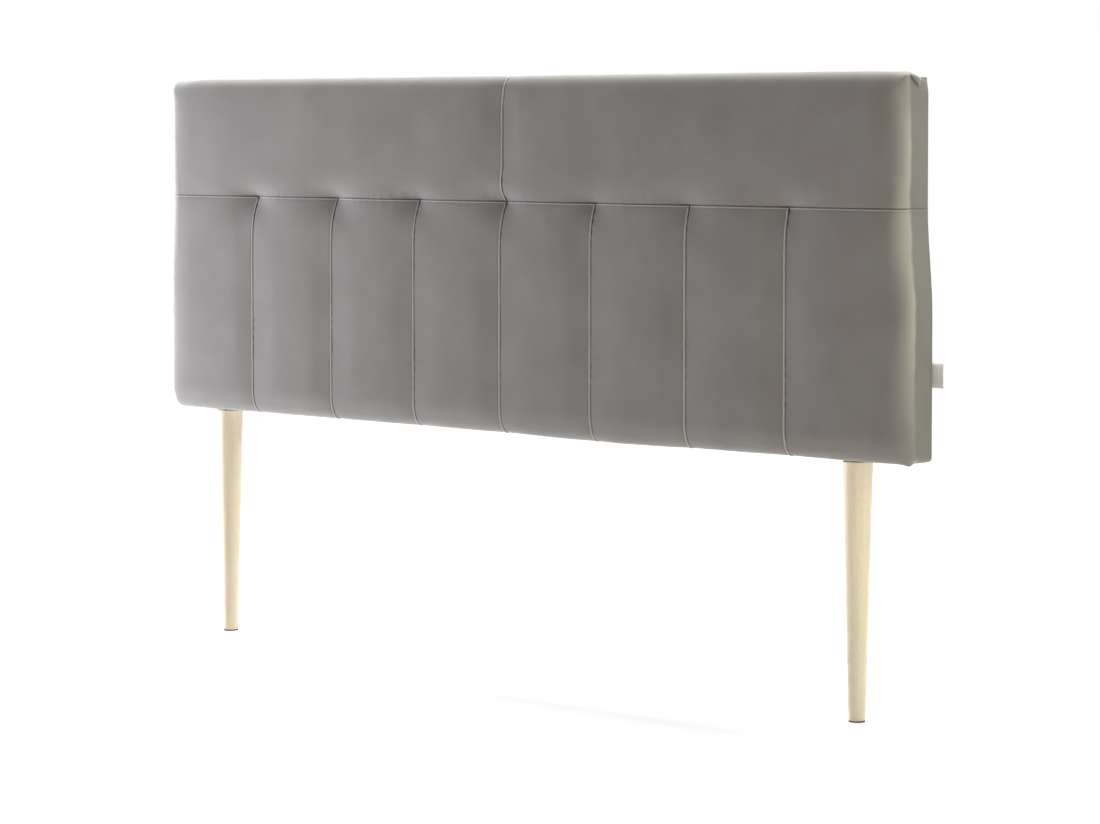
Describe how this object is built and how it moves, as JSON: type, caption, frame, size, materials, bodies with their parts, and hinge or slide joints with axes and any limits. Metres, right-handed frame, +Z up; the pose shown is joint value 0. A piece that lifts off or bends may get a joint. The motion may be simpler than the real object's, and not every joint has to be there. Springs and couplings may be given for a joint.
{
  "type": "headboard",
  "caption": "Wide upholstered headboard, channel-stitched velvet front tufted along a cross seam, on tapered round wooden legs that unscrew.",
  "frame": {"origin": "on the floor, below the middle of the board", "axes": "+X along the board towards its right-hand end as seen from the bed, +Y from the padded front to the wall, +Z up"},
  "size_m": [1.618, 0.0806, 1],
  "materials": {
    "velvet": "matte",
    "foam": "matte",
    "pine": "matte",
    "hardboard": "matte",
    "particle_board": "matte",
    "beech": "satin",
    "zinc_steel": "satin",
    "twine": "matte",
    "nonwoven": "matte",
    "ribbon": "satin",
    "glide_plastic": "matte"
  },
  "bodies": {
    "board": {"upper_left_panel": "velvet", "upper_right_panel": "velvet", "lower_panel_1": "velvet", "lower_panel_2": "velvet", "lower_panel_3": "velvet", "lower_panel_4": "velvet", "lower_panel_5": "velvet", "lower_panel_6": "velvet", "lower_panel_7": "velvet", "lower_panel_8": "velvet", "upper_left_foam": "foam", "upper_right_foam": "foam", "lower_foam_1": "foam", "lower_foam_2": "foam", "lower_foam_3": "foam", "lower_foam_4": "foam", "lower_foam_5": "foam", "lower_foam_6": "foam", "lower_foam_7": "foam", "lower_foam_8": "foam", "top_rail": "pine", "bottom_rail": "pine", "left_stile": "pine", "right_stile": "pine", "left_upright": "pine", "right_upright": "pine", "front_board": "hardboard", "back_board": "particle_board", "frame_screws": "zinc_steel", "back_board_screws": "zinc_steel", "tuft_ties": "twine", "back_cover": "nonwoven", "back_staples": "zinc_steel", "side_tab": "ribbon", "left_leg_insert": "zinc_steel", "right_leg_insert": "zinc_steel"},
    "left_washer": {"left_leg_washer": "zinc_steel"},
    "left_leg": {"left_leg": "beech", "left_leg_bolt": "zinc_steel", "left_foot_glide": "glide_plastic"},
    "right_washer": {"right_leg_washer": "zinc_steel"},
    "right_leg": {"right_leg": "beech", "right_leg_bolt": "zinc_steel", "right_foot_glide": "glide_plastic"}
  },
  "joints": [
    {"name": "left_leg_travel", "type": "slide", "parent": "board", "child": "left_washer", "axis": [0, 0, -1], "range_m": [0, 0.02]},
    {"name": "left_leg_turn", "type": "hinge", "parent": "left_washer", "child": "left_leg", "pos_m": [-0.691, 0.007, 0.4], "axis": [0, 0, -1], "range_deg": [0, 5760]},
    {"name": "right_leg_travel", "type": "slide", "parent": "board", "child": "right_washer", "axis": [0, 0, -1], "range_m": [0, 0.02]},
    {"name": "right_leg_turn", "type": "hinge", "parent": "right_washer", "child": "right_leg", "pos_m": [0.691, 0.007, 0.4], "axis": [0, 0, -1], "range_deg": [0, 5760]}
  ],
  "couplings": [
    {"joint": "left_leg_turn", "follows": "left_leg_travel", "rad_per_m": 5026.5},
    {"joint": "right_leg_turn", "follows": "right_leg_travel", "rad_per_m": 5026.5}
  ]
}
